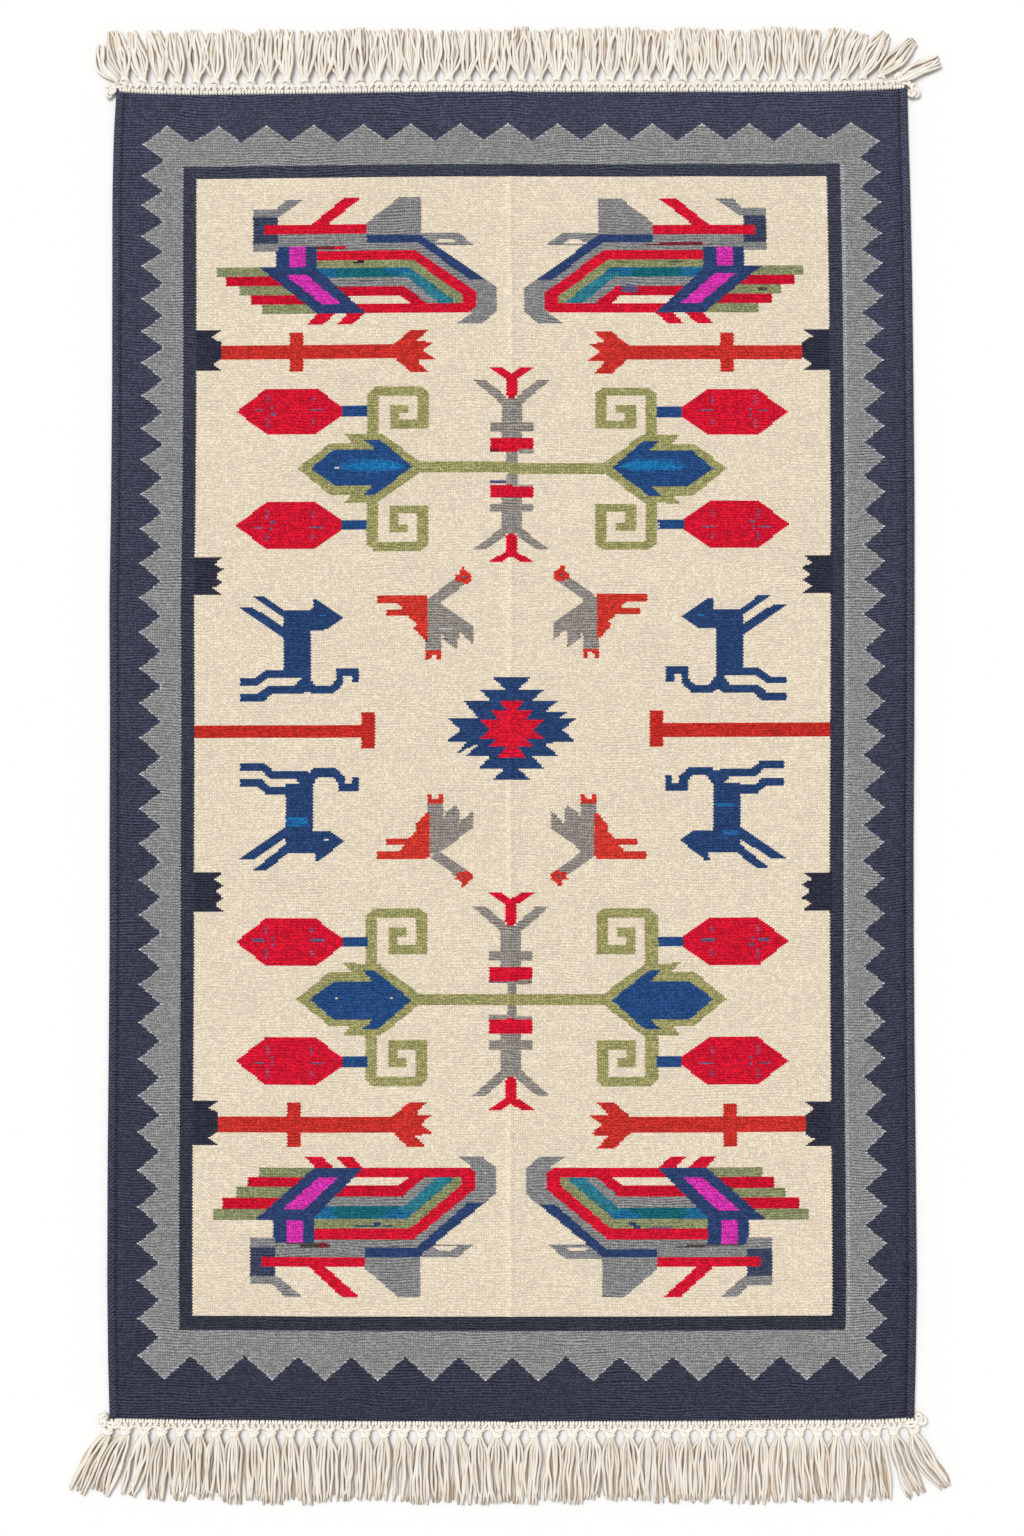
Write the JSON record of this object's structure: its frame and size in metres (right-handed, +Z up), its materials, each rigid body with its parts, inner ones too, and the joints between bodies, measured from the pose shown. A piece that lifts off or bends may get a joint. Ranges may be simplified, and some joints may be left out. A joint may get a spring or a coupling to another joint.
{
  "type": "dhurrie rug",
  "caption": "Flat-woven rectangular dhurrie rug lying flat, with a zigzag border and folk motifs, and a knotted heading with tassels at both ends.",
  "frame": {"origin": "centre of the whole rug's box in plan, on the surface that it lies on", "axes": "+Z up out of the rug's face, +Y along the rug towards the end with the shorter tassels, +X across the rug"},
  "size_m": [0.9774, 1.6722, 0.007],
  "materials": {
    "woven_cloth": "matt flat weave, cream ground with navy, grey and coloured wefts",
    "fringe_yarn": "matt natural plied cotton yarn"
  },
  "bodies": {
    "root": {"rug_field": "woven_cloth", "fringe_top": "fringe_yarn", "fringe_bottom": "fringe_yarn"}
  },
  "joints": []
}
